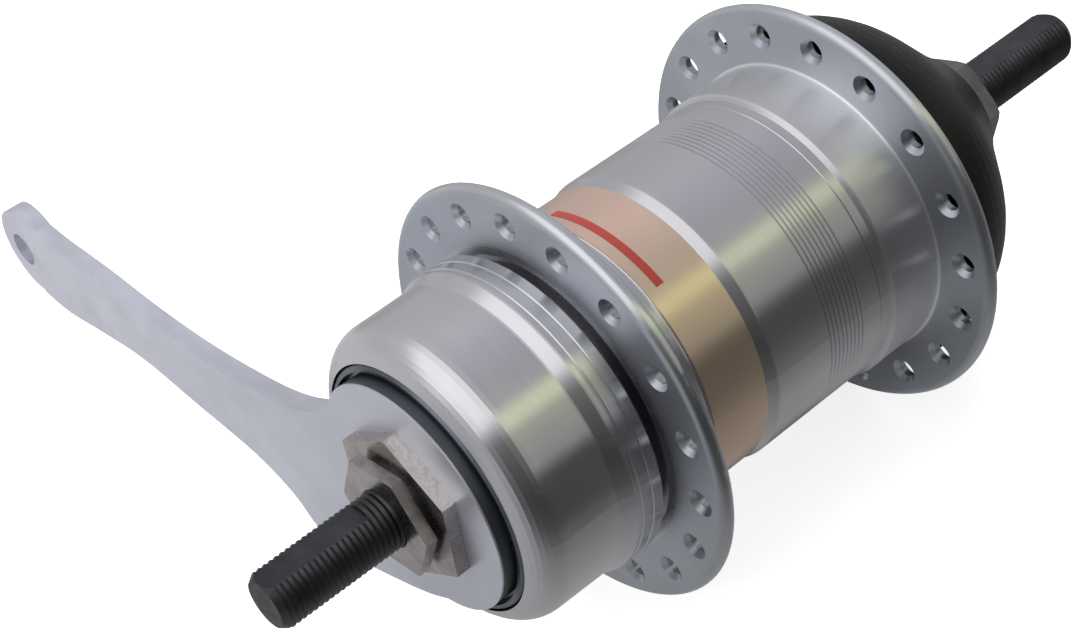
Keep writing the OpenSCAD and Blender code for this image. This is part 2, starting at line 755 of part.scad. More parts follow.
module ring_gear() {
    color([0.58, 0.58, 0.6]) along_axle() difference() {
        union() {
            bar(ring_out_r, gears_from - 0.9, web_from + 1);
            bar(pawl_disc_r, web_from, web_to);
        }
        translate([0, 0, gears_from - 2]) linear_extrude(height = web_from - gears_from + 2)
            polygon(wheel(ring_teeth, ring_pitch_r - addendum, ring_pitch_r + dedendum,
                -backlash, 180 / ring_teeth));
        bar(sleeve_r + run_fit, web_from - 1, web_to + 1);
        for (turn = [45, 135]) rotate([0, 0, turn])
            translate([-wing_r - 0.3, -wing_w / 2 - slot_side, web_from - 1])
                cube([2 * wing_r + 0.6, wing_w + 2 * slot_side, web_l + 2]);
        pawl_cuts(ring_pawl_at, web_from, web_to);
    }
}

module ring_pawl_pins() { color([0.7, 0.7, 0.72]) along_axle() pawl_pins(web_from, web_to); }

module ring_pawl_springs() { color([0.4, 0.4, 0.42]) along_axle() pawl_springs(ring_pawl_at + pawl_w / 2); }

module ring_pawl(i) { color([0.55, 0.55, 0.57]) along_axle() rotate([0, 0, 180 * i]) pawl(ring_pawl_at); }

module driver() {
    color([0.5, 0.5, 0.52]) along_axle() difference() {
        union() {
            bar(sleeve_r, fork_from, outer_ball_at - 3);
            bar(driver_r, outer_ball_at - 3.2, seat_from);
            bar(race_r, outer_ball_at + 0.2, outer_ball_at + 3.2);
            bar(seat_r + 2.2, seat_from - 1.5, seat_from);
            bar(seat_r, seat_from, seat_from + seat_l);
            bar(nose_r, seat_from + seat_l - 1, nose_end);
        }
        race(outer_pitch_r, outer_ball_at, small_ball_r);
        race(inner_pitch_r, inner_ball_at, big_ball_r);
        bar(sleeve_bore_r, fork_from - 1, spring_seat);
        bar(axle_r + 0.5, fork_from - 1, inner_ball_at);
        bar(inner_pitch_r - 0.8, inner_ball_at - 4.5, inner_ball_at + 1);
        bar(inner_pitch_r + big_ball_r + 0.12, inner_ball_at, nose_end + 1);
        for (turn = [45, 135]) rotate([0, 0, turn])
            translate([-driver_r, -wing_w / 2 - slot_side, fork_from - 1])
                cube([2 * driver_r, wing_w + 2 * slot_side, fork_to - fork_from + 1]);
        round_copies(3) translate([seat_r - 1.5, -3, seat_from]) cube([4, 6, seat_l + 1]);
        tube(seat_r + 1, seat_r - 0.9, seat_from + seat_l - 1.9, seat_from + seat_l - 0.9);
    }
}

module driver_dust_cap() {
    color([0.35, 0.35, 0.36]) along_axle() tube(nose_r, cover_seat_r + face_gap, nose_end, nose_end + 0.8);
}

module clutch() {
    color([0.66, 0.66, 0.68]) along_axle() translate([0, 0, clutch_at])
        linear_extrude(height = clutch_t) difference() {
            union() {
                circle(r = clutch_ring_r);
                for (turn = [45, 135]) rotate(turn) square([2 * wing_r, wing_w], center = true);
            }
            circle(r = axle_r + run_fit);
        }
}

module axle_key() {
    color([0.7, 0.7, 0.72]) along_axle() translate([-key_half, -key_w / 2, key_at])
        cube([2 * key_half, key_w, key_t]);
}

// Coil spring that holds the key and the clutch towards the brake side
module clutch_spring() {
    wire = 0.4;
    coil_r = axle_r + wire + 0.35;
    turns = 4.5;
    steps = 90;
    sides = 6;
    from = key_at + key_t + wire;
    rise = spring_seat - wire - from;
    points = [
        for (i = [0:steps], k = [0:sides - 1])
            let (a = i * turns * 360 / steps, b = k * 360 / sides, r = coil_r + wire * cos(b))
                [r * cos(a), r * sin(a), from + rise * i / steps + wire * sin(b)]
    ];
    faces = concat(
        [[for (k = [0:sides - 1]) k]],
        [[for (k = [sides - 1:-1:0]) steps * sides + k]],
        [
            for (i = [0:steps - 1], k = [0:sides - 1]) let (n = (k + 1) % sides)
                [i * sides + k, (i + 1) * sides + k, (i + 1) * sides + n, i * sides + n]
        ]
    );
    color([0.45, 0.45, 0.47]) along_axle() polyhedron(points = points, faces = faces);
}

// Cam outline: each ramp climbs against the direction in which the cam turns to brake
function ramp(a) = a < 28 ? cam_lift * max(a, -12) : cam_lift * (28 - (a - 28) * 40 / 80);

module brake_cam() {
    third = 360 / shoe_count;
    color([0.6, 0.6, 0.62]) along_axle() difference() {
        translate([0, 0, brake_at]) linear_extrude(height = shoe_w)
            polygon([for (k = [0:shoe_count - 1], a = [-12:4:third - 16])
                polar(cam_r + ramp(a), -k * third - a)]);
        bar(spigot_r + run_fit, brake_at - 1, brake_end + 1);
    }
}

module brake_shoe(i) {
    color([0.45, 0.42, 0.38]) along_axle() rotate([0, 0, i * 360 / shoe_count]) difference() {
        sector(shoe_out_r, shoe_in_r, shoe_half, brake_at, brake_at + shoe_w);
        tube(shoe_out_r + 1, garter_r - garter_wire - 0.15, garter_at - garter_wire - 0.1,
            garter_at + garter_wire + 0.1);
    }
}

module brake_roller(i) {
    color([0.75, 0.75, 0.77]) along_axle() rotate([0, 0, i * 360 / shoe_count])
        translate([roller_at_r, 0, 0]) bar(roller_r, brake_at + 0.5, brake_at + shoe_w - 0.5);
}

module shoe_spring() {
    color([0.4, 0.4, 0.42]) along_axle() rotate_extrude()
        translate([garter_r, garter_at]) circle(r = garter_wire);
}

// Outline of the cover's outer face, or of its hollow when a wall is given
function bell(wall) = concat(
    [[cover_r - wall, cover_in - wall]],
    on_arc([cover_r - bell_r, bell_at], bell_r - wall, 0, 45, 8),
    [
        [bell_sum - cover_out + 4.7 - 1.414 * wall, cover_out - 4.7],
        [cover_seat_r + 2.1 - 1.3 * wall, cover_out - 0.7 - wall / 2],
        [cover_seat_r + 1.6 - 1.3 * wall, cover_out - wall], [0, cover_out - wall], [0, cover_in - wall]
    ]
);

module dust_cover() {
    color([0.1, 0.1, 0.1]) along_axle() difference() {
        rotate_extrude() polygon(bell(0));
        rotate_extrude() polygon(bell(cover_wall));
        bar(cover_seat_r + run_fit, cover_in, cover_out + 1);
    }
}

axle();
sun_gear();
left_locknut();
left_washer();
brake_arm_nut();
brake_arm();
left_dust_cap();
left_cone();
shoe_carrier();
right_cone();
right_washer();
right_locknut();
hub_shell();
brake_drum();
left_ball_cup();
left_ratchet_ring();
right_ratchet_cup();
label_band();
label_stripe();
left_balls();
left_ball_retainer();
outer_balls();
outer_ball_retainer();
inner_balls();
inner_ball_retainer();
planet_cage();
planet_pins();
cage_pawl_pins();
cage_pawl_springs();
cage_pawl(0);  // cage_pawl_1
cage_pawl(1);  // cage_pawl_2
planet_gear(0);  // planet_gear_1
planet_gear(1);  // planet_gear_2
planet_gear(2);  // planet_gear_3
planet_gear(3);  // planet_gear_4
ring_gear();
ring_pawl_pins();
ring_pawl_springs();
ring_pawl(0);  // ring_pawl_1
ring_pawl(1);  // ring_pawl_2
driver();
driver_dust_cap();
clutch();
clutch_spring();
axle_key();
brake_cam();
brake_shoe(0);  // brake_shoe_1
brake_shoe(1);  // brake_shoe_2
brake_shoe(2);  // brake_shoe_3
brake_roller(0);  // brake_roller_1
brake_roller(1);  // brake_roller_2
brake_roller(2);  // brake_roller_3
shoe_spring();
dust_cover();
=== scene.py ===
import json
import math
import bmesh
import bpy
from mathutils import Matrix, Vector


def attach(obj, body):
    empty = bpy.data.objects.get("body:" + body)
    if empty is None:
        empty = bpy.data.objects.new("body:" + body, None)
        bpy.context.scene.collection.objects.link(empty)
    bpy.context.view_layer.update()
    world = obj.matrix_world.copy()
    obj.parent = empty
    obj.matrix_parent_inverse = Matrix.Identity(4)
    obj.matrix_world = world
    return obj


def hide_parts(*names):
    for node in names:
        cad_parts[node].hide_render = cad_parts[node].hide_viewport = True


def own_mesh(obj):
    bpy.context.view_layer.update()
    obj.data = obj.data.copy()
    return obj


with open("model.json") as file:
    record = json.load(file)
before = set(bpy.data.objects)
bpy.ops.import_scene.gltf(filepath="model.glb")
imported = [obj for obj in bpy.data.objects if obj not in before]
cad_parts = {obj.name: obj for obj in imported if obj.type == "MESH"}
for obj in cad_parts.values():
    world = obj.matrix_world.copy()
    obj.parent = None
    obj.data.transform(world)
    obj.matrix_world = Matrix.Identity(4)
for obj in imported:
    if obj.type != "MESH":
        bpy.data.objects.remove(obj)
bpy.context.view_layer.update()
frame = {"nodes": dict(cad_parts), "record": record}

NODES = frame["nodes"]
MM = 0.001


class NodeTree:
    """Adds nodes to an emptied tree and joins them."""

    def __init__(self, tree):
        self.tree = tree
        self.tree.nodes.clear()

    def add(self, kind, **values):
        node = self.tree.nodes.new(kind)
        for key, value in values.items():
            setattr(node, key, value)
        return node

    def put(self, socket, value):
        if isinstance(value, bpy.types.NodeSocket):
            self.tree.links.new(value, socket)
        elif isinstance(value, (tuple, list)) and len(value) == 3 and socket.type == "RGBA":
            socket.default_value = (*value, 1.0)
        else:
            socket.default_value = value

    def math(self, operation, a, b=0.0):
        node = self.add("ShaderNodeMath", operation=operation)
        self.put(node.inputs[0], a)
        self.put(node.inputs[1], b)
        return node.outputs[0]


class Maker(NodeTree):
    """Builds one procedural material, node by node."""

    def __init__(self, name):
        self.mat = bpy.data.materials.new(name)
        self.mat.use_nodes = True
        super().__init__(self.mat.node_tree)
        self.out = self.add("ShaderNodeOutputMaterial")
        self.shader = self.add("ShaderNodeBsdfPrincipled")
        self.put(self.out.inputs["Surface"], self.shader.outputs[0])
        self.place = self.add("ShaderNodeTexCoord").outputs["Object"]

    def split(self):
        node = self.add("ShaderNodeSeparateXYZ")
        self.put(node.inputs[0], self.place)
        return node.outputs

    def join(self, x, y, z):
        node = self.add("ShaderNodeCombineXYZ")
        for socket, value in zip(node.inputs, (x, y, z)):
            self.put(socket, value)
        return node.outputs[0]

    def around(self):
        """Distance from the axle, angle round it from +X to +Z, and place along it."""
        x, y, z = self.split()
        square = self.math("ADD", self.math("MULTIPLY", x, x), self.math("MULTIPLY", z, z))
        return self.math("SQRT", square), self.math("ARCTAN2", z, x), y

    def noise(self, where, scale, detail=2.0, rough=0.5):
        node = self.add("ShaderNodeTexNoise")
        self.put(node.inputs["Vector"], where)
        self.put(node.inputs["Scale"], scale)
        self.put(node.inputs["Detail"], detail)
        self.put(node.inputs["Roughness"], rough)
        return node.outputs["Fac"]

    def stretch(self, sx, sy, sz):
        node = self.add("ShaderNodeMapping")
        self.put(node.inputs["Vector"], self.place)
        self.put(node.inputs["Scale"], (sx, sy, sz))
        return node.outputs[0]

    def ramp(self, value, stops):
        """Runs through the stops, each a place from 0 to 1 with a colour or a grey."""
        node = self.add("ShaderNodeValToRGB")
        line = node.color_ramp.elements
        while len(line) < len(stops):
            line.new(0.5)
        for element, (place, colour) in zip(line, stops):
            element.position = place
            rgb = colour if isinstance(colour, tuple) else (colour, colour, colour)
            element.color = (*rgb, 1.0)
        self.put(node.inputs["Fac"], value)
        return node.outputs["Color"]

    def span(self, value, low, high, to_low=0.0, to_high=1.0, smooth=False):
        """Carries the value over from low..high to to_low..to_high and stops at the ends."""
        node = self.add("ShaderNodeMapRange", clamp=True)
        if smooth:
            node.interpolation_type = "SMOOTHSTEP"
        for i, v in enumerate((value, low, high, to_low, to_high)):
            self.put(node.inputs[i], v)
        return node.outputs[0]

    def mix(self, share, a, b):
        node = self.add("ShaderNodeMix", data_type="RGBA")
        self.put(node.inputs[0], share)
        self.put(node.inputs[6], a)
        self.put(node.inputs[7], b)
        return node.outputs[2]

    def bump(self, height, strength, distance=0.0001, under=None):
        node = self.add("ShaderNodeBump")
        self.put(node.inputs["Strength"], strength)
        self.put(node.inputs["Distance"], distance)
        self.put(node.inputs["Height"], height)
        if under is not None:
            self.put(node.inputs["Normal"], under)
        return node.outputs[0]

    def done(self, colour, rough, metal=0.0, normal=None, **more):
        s = self.shader.inputs
        self.put(s["Base Color"], colour)
        self.put(s["Roughness"], rough)
        self.put(s["Metallic"], metal)
        if normal is not None:
            self.put(s["Normal"], normal)
        for key, value in more.items():
            self.put(s[key.replace("_", " ")], value)
        return self.mat


def shade(colour, k):
    """The colour, k times as bright."""
    return tuple(min(1.0, c * k) for c in colour)


# Places on the hub where a material or a painted light changes, in metres: r from the axle, y
# along it
SHARP = 0.0001
FLANGE_STARTS = (0.0261, 0.0265)
RIM_STARTS = (0.0350, 0.0356)
COLLAR_R = (0.0256, 0.0259)
COLLAR_Y = (0.010, 0.012)
# Along the collar, where a painted reflection brightens it towards the right flange
COLLAR_PAINTED_REFLECTION = (0.018, 0.0262)
PLATE_R = 0.0193
PLATE_FACE_Y = -0.0580
# Where the painted highlight on the arm nut's upper flank begins
NUT_PAINTED_HIGHLIGHT = (0.0112, -0.0606)
RINGS_PER_METRE = 3000.0


def turning(m, strength):
    """Spreads reflections along the axle, as fine rings round it do."""
    circle = m.add("ShaderNodeTangent", direction_type="RADIAL", axis="Y")
    m.put(m.shader.inputs["Anisotropic"], strength)
    m.put(m.shader.inputs["Anisotropic Rotation"], 0.25)
    m.put(m.shader.inputs["Tangent"], circle.outputs[0])


def turned_metal(name, colour, rough, lines=0.25, dirt=0.08, spread=0.05, rings_seen=0.0):
    """Metal that was turned about the axle: fine rings, soft blotches and small scratches."""
    m = Maker(name)
    r, angle, along = m.around()
    fine_r, fine_along = (m.math("MULTIPLY", v, RINGS_PER_METRE) for v in (r, along))
    rings = m.noise(m.join(fine_r, fine_along, angle), 1.0, 3.0)
    blotch = m.noise(m.place, 70.0, 3.0)
    scratch = m.noise(m.stretch(60, 900, 60), 1.0, 4.0, 0.65)
    dull, clean = shade(colour, 1.0 - dirt), shade(colour, 1.0 + dirt / 2)
    tone = m.mix(m.span(blotch, 0.35, 0.7), dull, clean)
    tone = m.mix(m.span(scratch, 0.62, 0.75, 0.0, 0.2), tone, shade(colour, 0.82))
    roughness = m.span(rings, 0.3, 0.7, rough - spread, rough + spread)
    normal = m.bump(rings, lines, 0.00001, m.bump(scratch, lines * 0.5, 0.00001))
    if rings_seen:
        turning(m, rings_seen)
    return m.done(tone, roughness, 1.0, normal)


def forged_metal(name, colour, rough, grain=420.0, depth=0.35, dirt=0.15, painted_highlight_from=None):
    """Metal with fine grain and worn tone; the last argument gives the r and y from which one
    upper flank of a nut is made paler, a painted highlight.
    """
    m = Maker(name)
    fine = m.noise(m.place, grain, 3.0)
    worn = m.noise(m.place, grain / 6, 4.0, 0.6)
    dull, clean = shade(colour, 1 - dirt), shade(colour, 1 + dirt / 2)
    tone = m.mix(m.span(worn, 0.35, 0.68), dull, clean)
    roughness = m.span(fine, 0.3, 0.7, rough - 0.06, rough + 0.08)
    # Painted highlight: one upper flank of the nut is made paler, as if lit from above
    if painted_highlight_from:
        from_r, from_y = painted_highlight_from
        r, _, along = m.around()
        outside = m.span(r, from_r - SHARP, from_r)
        painted_highlight = m.math("MULTIPLY", outside, m.span(along, from_y - SHARP, from_y))
        painted_highlight = m.math("MULTIPLY", painted_highlight, m.span(fine, 0.35, 0.62, 0.45, 1.0))
        painted_highlight = m.math("MULTIPLY", painted_highlight, m.span(m.split()[2], 0.001, 0.006))
        painted_highlight = m.math("MULTIPLY", painted_highlight, m.span(m.split()[0], -0.001, 0.002))
        tone = m.mix(painted_highlight, tone, (0.70, 0.66, 0.60))
    uneven = m.bump(worn, depth * 0.4, 0.00004)
    return m.done(tone, roughness, 1.0, m.bump(fine, depth, 0.00002, uneven))


def shell_metal():
    """Satin shell: polished barrel, greyer blasted flanges, bright edge on each rim, and a paler
    collar that a painted reflection brightens towards the right flange.
    """
    m = Maker("shell_satin")
    r, _, along = m.around()
    blotch = m.noise(m.place, 60.0, 3.0)
    grain = m.noise(m.place, 2600.0, 2.0)
    barrel, flange, rim = (0.66, 0.66, 0.69), (0.56, 0.59, 0.65), (0.66, 0.68, 0.71)
    on_flange = m.span(r, *FLANGE_STARTS)
    on_rim = m.span(r, *RIM_STARTS, smooth=True)
    on_collar = m.math("MULTIPLY", m.span(r, *COLLAR_R), m.span(along, *COLLAR_Y))
    blotches = m.span(blotch, 0.35, 0.7)
    tone = m.mix(blotches, shade(barrel, 0.97), shade(barrel, 1.03))
    # Painted reflection: the paler collar brightens towards the right flange
    collar_tone_and_reflection = m.mix(m.span(along, *COLLAR_PAINTED_REFLECTION), (0.74, 0.74, 0.76), (0.96, 0.96, 0.97))
    tone = m.mix(on_collar, tone, collar_tone_and_reflection)
    tone = m.mix(on_flange, tone, m.mix(blotches, shade(flange, 0.92), shade(flange, 1.06)))
    tone = m.mix(on_rim, tone, rim)
    rough = m.math("ADD", 0.27, m.math("MULTIPLY", on_flange, 0.08))
    rough = m.math("SUBTRACT", rough, m.math("MULTIPLY", on_rim, 0.10))
    rough = m.math("ADD", rough, m.math("MULTIPLY", on_collar, 0.09))
    turning(m, 0.8)
    return m.done(tone, rough, 1.0, m.bump(grain, m.math("MULTIPLY", on_flange, 0.2), 0.00001))


def label_film():
    """Thin printed film whose colour runs from salmon through gold to rose round the axle: partly
    its own pearl tint, partly a painted reflection.
    """
    m = Maker("label_film")
    _, angle, _ = m.around()
    # Colour by angle round the axle, partly the film's pearl tint and partly a painted reflection;
    # it turns with the shell
    turn = m.span(angle, math.radians(-60), math.radians(130))
    tone = m.ramp(turn, [
        (0.0, (0.62, 0.42, 0.33)), (0.30, (0.72, 0.53, 0.40)), (0.45, (0.78, 0.62, 0.44)),
        (0.58, (0.82, 0.65, 0.47)), (0.72, (0.90, 0.64, 0.53)), (1.0, (0.86, 0.61, 0.52))])
    cloud = m.noise(m.place, 90.0, 2.0)
    tone = m.mix(m.span(cloud, 0.3, 0.7, 0.0, 0.2), tone, (0.84, 0.70, 0.56))
    turning(m, 0.8)
    rough = m.span(cloud, 0.3, 0.7, 0.27, 0.31)
    return m.done(tone, rough, 0.9, Coat_Weight=0.1, Coat_Roughness=0.25)


def painted(name, colour, rough, metal=0.0, grain=900.0, depth=0.2, wear=0.12, **more):
    """Paint, ink or moulded plastic: fine grain and a soft cloud of wear."""
    m = Maker(name)
    fine = m.noise(m.place, grain, 3.0)
    cloud = m.noise(m.place, 80.0, 3.0)
    tone = m.mix(m.span(cloud, 0.3, 0.7), shade(colour, 1 - wear), shade(colour, 1 + wear))
    roughness = m.span(fine, 0.3, 0.7, rough - 0.05, rough + 0.06)
    return m.done(tone, roughness, metal, m.bump(fine, depth, 0.00002), **more)


def arm_metal():
    """Pale zinc on the pressed arm, mottled and marked, darker towards the hub, with painted shade
    on the cut edge at the hub.
    """
    m = Maker("arm_zinc")
    fine = m.noise(m.place, 1500.0, 2.0)
    mottle = m.noise(m.stretch(1, 3, 1.4), 90.0, 5.0, 0.6)
    marks = m.noise(m.stretch(160, 160, 40), 1.0, 4.0, 0.7)
    tone = m.mix(m.span(mottle, 0.36, 0.66), (0.70, 0.71, 0.80), (0.80, 0.81, 0.91))
    tone = m.mix(m.span(m.split()[0], -0.075, -0.02, 0.0, 0.35), tone, (0.52, 0.54, 0.60))
    tone = m.mix(m.span(marks, 0.64, 0.78, 0.0, 0.5), tone, (0.60, 0.60, 0.64))
    # Painted shade: the plate's cut edge round the hub is made dark, as if in shade
    r, _, along = m.around()
    near_hub = m.span(r, PLATE_R, PLATE_R + SHARP, 1.0, 0.0)
    side = m.math("MULTIPLY", m.span(along, PLATE_FACE_Y - SHARP, PLATE_FACE_Y + SHARP), near_hub)
    tone = m.mix(side, tone, (0.11, 0.12, 0.14))
    rough = m.span(mottle, 0.3, 0.7, 0.36, 0.44)
    return m.done(tone, rough, 0.9, m.bump(fine, 0.25, 0.00001))


# One finish for each material slot of the record
finish = {
    "axle": forged_metal("black_oxide", (0.080, 0.084, 0.090), 0.42, 900.0, 0.2, 0.3),
    "nut_nickel": forged_metal("nickel_plate", (0.46, 0.42, 0.41), 0.26, 1500.0, 0.35, 0.25,
                               NUT_PAINTED_HIGHLIGHT),
    "nut_dull": forged_metal("zinc_plate", (0.20, 0.20, 0.23), 0.36, 900.0, 0.4, 0.25),
    "dark_washer": turned_metal("dark_washer", (0.09, 0.09, 0.10), 0.40),
    "arm": arm_metal(),
    "dust_ring": forged_metal("dust_ring_zinc", (0.17, 0.19, 0.22), 0.27, 300.0, 0.15, 0.35),
    "hardened_steel": turned_metal("hardened_steel", (0.50, 0.50, 0.53), 0.24),
    "shell": shell_metal(),
    "drum": turned_metal("drum_plate", (0.70, 0.70, 0.73), 0.22, 0.05, 0.04, 0.02, 0.8),
    "label": label_film(),
    "stripe": painted("stripe_ink", (0.55, 0.055, 0.035), 0.38, 0.0, 700.0, 0.1, 0.08,
                      Coat_Weight=0.2),
    "balls": turned_metal("bearing_balls", (0.78, 0.78, 0.80), 0.08, 0.05, 0.03, 0.02),
    "retainer": forged_metal("brass_retainer", (0.62, 0.47, 0.22), 0.32),
    "gear_steel": forged_metal("gear_steel", (0.42, 0.42, 0.45), 0.33),
    "spring_wire": forged_metal("spring_wire", (0.26, 0.26, 0.29), 0.30),
    "shoe_lining": painted("shoe_lining", (0.16, 0.13, 0.11), 0.72, 0.3, 500.0, 0.6, 0.25),
    "cover": painted("cover_black", (0.005, 0.0054, 0.0052), 0.42, 0.0, 1400.0, 0.1, 0.2,
                     Specular_IOR_Level=0.22),
}
for part in frame["record"]["subparts"]:
    obj = NODES[part["node"]]
    obj.data.materials.clear()
    obj.data.materials.append(finish[part["material_slot"]])


def cut_box(obj, low, high):
    """Takes a box out of a mesh for good, with its corners given in mm."""
    mesh = bpy.data.meshes.new("cutter")
    bm = bmesh.new()
    bmesh.ops.create_cube(bm, size=1.0)
    for v in bm.verts:
        v.co = Vector([(high if v.co[i] > 0 else low)[i] * MM for i in range(3)])
    bm.to_mesh(mesh)
    bm.free()
    cutter = bpy.data.objects.new("cutter", mesh)
    bpy.context.scene.collection.objects.link(cutter)
    cut = obj.modifiers.new("cut", "BOOLEAN")
    cut.operation = "DIFFERENCE"
    cut.solver = "EXACT"
    cut.object = cutter
    graph = bpy.context.evaluated_depsgraph_get()
    result = bpy.data.meshes.new_from_object(obj.evaluated_get(graph))
    obj.modifiers.remove(cut)
    obj.data = result
    bpy.data.objects.remove(cutter)
    bpy.data.meshes.remove(mesh)


# Axle with a rolled thread, the flats of its ends and the slot for the key, in mm
AXLE_R = 4.75
AXLE_FROM, AXLE_TO = -84.8, 90.2
PITCH, THREAD_DEPTH = 0.977, 0.28
THREAD_INNER_ENDS = (-52, 50)
FLAT_HALF = 3.9
FLATS_FROM = 66.8
TIP_CHAMFER_R, TIP_CHAMFER_L = 0.9, 1.3
BORE_R, BORE_L = 2.6, 69.8
AXLE_SIDES = 96
KEY_SLOT = (-6.0, 17.8, -1.5), (6.0, 23.6, 1.5)


def threaded(y):
    """Whether the axle has thread at this place."""
    return y < THREAD_INNER_ENDS[0] or y > THREAD_INNER_ENDS[1]


def axle_places():
    """Places along the axle: close together in the threads, wide apart between them."""
    places = []
    y = AXLE_FROM
    while y < AXLE_TO - 1e-6:
        places.append(y)
        y += PITCH / 8 if threaded(y) else 2.0
    return places + [AXLE_TO]


def threaded_axle():
    """The axle with turns of thread in its mesh, its flats cut through them, and its bore."""
    steps = axle_places()
    verts, faces = [], []
    sides = AXLE_SIDES
    for y in steps:
        lead_in = min(1.0, (y - AXLE_FROM) / TIP_CHAMFER_L, (AXLE_TO - y) / TIP_CHAMFER_L)
        for k in range(sides):
            a = 2 * math.pi * k / sides
            turn = (y / PITCH - k / sides) % 1.0
            cut = THREAD_DEPTH * (1 - abs(2 * turn - 1)) ** 0.9 if threaded(y) else 0.0
            r = AXLE_R - cut
            r = min(r, AXLE_R - TIP_CHAMFER_R * (1 - max(0.0, lead_in)))
            x, z = r * math.cos(a), r * math.sin(a)
            if abs(y) > FLATS_FROM:
                z = max(-FLAT_HALF, min(FLAT_HALF, z))
            verts.append((x * MM, y * MM, z * MM))
    for i in range(len(steps) - 1):
        for k in range(sides):
            n = (k + 1) % sides
            here, there = i * sides, (i + 1) * sides
            faces.append((here + k, there + k, there + n, here + n))
    faces.append(tuple(range(sides)))
    last = (len(steps) - 1) * sides
    bore = len(verts)
    for y in (AXLE_TO, AXLE_TO - BORE_L):
        for k in range(sides):
            a = 2 * math.pi * k / sides
            verts.append((BORE_R * math.cos(a) * MM, y * MM, BORE_R * math.sin(a) * MM))
    for k in range(sides):
        n = (k + 1) % sides
        faces.append((last + k, bore + k, bore + n, last + n))
        faces.append((bore + k, bore + sides + k, bore + sides + n, bore + n))
    faces.append(tuple(bore + sides + k for k in reversed(range(sides))))
    mesh = bpy.data.meshes.new("axle_thread")
    mesh.from_pydata(verts, [], faces)
    mesh.validate()
    mesh.update()
    obj = bpy.data.objects.new("axle_thread", mesh)
    bpy.context.scene.collection.objects.link(obj)
    cut_box(obj, *KEY_SLOT)
    obj.data.materials.clear()
    obj.data.materials.append(finish["axle"])
    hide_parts("axle")
    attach(obj, "axle_group")


threaded_axle()


# Springs that ride on their bodies: the clutch coil on the driver, and the ring round the shoes
# as three arcs, one on each shoe, that meet at rest; sizes in mm, angles in degrees
WIRE_SIDES = 12
COIL_R, COIL_WIRE, COIL_TURN, COIL_Y = 5.5, 0.39, (-1620, 0), (27.6, 20.7)
COIL_STEPS, COIL_SEAT_Y, COIL_KEEP = 216, 28.0, 0.61
RING_R, RING_WIRE, RING_Y = 21.9, 0.44, (-39.0625, -39.0625)
ARC_HALF, ARC_STEPS = 61.1, 60
SHOES = {"shoe_a": "brake_shoe_1", "shoe_b": "brake_shoe_2", "shoe_c": "brake_shoe_3"}


def wound_wire(name, stands_for, body, radius, wire, turn, place, steps):
    """Round wire wound about the axle: turn gives its end angles, place its ends along it."""
    sides = WIRE_SIDES
    verts, faces = [], []
    for i in range(steps + 1):
        a = math.radians(turn[0] + (turn[1] - turn[0]) * i / steps)
        y = place[0] + (place[1] - place[0]) * i / steps
        for k in range(sides):
            b = 2 * math.pi * k / sides
            r = radius + wire * math.cos(b)
            point = (r * math.cos(a), y + wire * math.sin(b), r * math.sin(a))
            verts.append([v * MM for v in point])
    for i in range(steps):
        for k in range(sides):
            n = (k + 1) % sides
            here, there = i * sides, (i + 1) * sides
            faces.append((here + k, here + n, there + n, there + k))
    faces.append(tuple(reversed(range(sides))))
    faces.append(tuple(steps * sides + k for k in range(sides)))
    mesh = bpy.data.meshes.new(name)
    mesh.from_pydata(verts, [], faces)
    mesh.materials.append(finish["spring_wire"])
    for face in mesh.polygons:
        face.use_smooth = len(face.vertices) == 4
    obj = bpy.data.objects.new(name, mesh)
    bpy.context.scene.collection.objects.link(obj)
    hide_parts(stands_for)
    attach(obj, body)
    return obj


coil = wound_wire("clutch_coil", "clutch_spring", "driver", COIL_R, COIL_WIRE,
                  COIL_TURN, COIL_Y, COIL_STEPS)
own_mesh(coil)
for body, node in SHOES.items():
    box = [NODES[node].matrix_world @ Vector(corner) for corner in NODES[node].bound_box]
    middle = math.degrees(math.atan2(sum(c.z for c in box), sum(c.x for c in box)))
    wound_wire("spring_of_" + body, "shoe_spring", body, RING_R, RING_WIRE,
               (middle - ARC_HALF, middle + ARC_HALF), RING_Y, ARC_STEPS)

# Soft edges on the pressed and cut pieces, with their widths in mm
SOFT_EDGES = {"brake_arm": 0.3, "brake_arm_nut": 0.1, "left_locknut": 0.1, "right_locknut": 0.15,
              "left_dust_cap": 0.2}
for name, width in SOFT_EDGES.items():
    bevel = NODES[name].modifiers.new("edge", "BEVEL")
    bevel.width = width * MM
    bevel.segments = 3
    bevel.limit_method = "ANGLE"
    bevel.angle_limit = math.radians(40)


# Studio: pale floor, plain light, and walls that only reflections show, in metres
FLOOR_Z = -0.0362
FLOOR_SIZE = 12.0
FLOOR_GLOW = 0.74
ROOM_R = 3.0
CARD_SIZE = 5.6
CARD_Z = FLOOR_Z + 0.0002
TABLE_SHADOW = (-0.010, 0.024, 0.010, 0.030, 0.75)
LAMP_FAR = 1.4


def stage_plane(name, size, height):
    """A level square on the stage, with its middle over the origin."""
    mesh = bpy.data.meshes.new(name)
    h = size / 2
    mesh.from_pydata([(-h, -h, 0), (h, -h, 0), (h, h, 0), (-h, h, 0)], [], [(0, 1, 2, 3)])
    obj = bpy.data.objects.new(name, mesh)
    bpy.context.scene.collection.objects.link(obj)
    obj.location = (0, 0, height)
    return obj


def seen_rays(m):
    """1 for camera, glossy and transmission rays, 0 for light that falls on things."""
    path = m.add("ShaderNodeLightPath")
    most = m.math("MAXIMUM", path.outputs["Is Camera Ray"], path.outputs["Is Glossy Ray"])
    return m.math("MAXIMUM", most, path.outputs["Is Transmission Ray"])


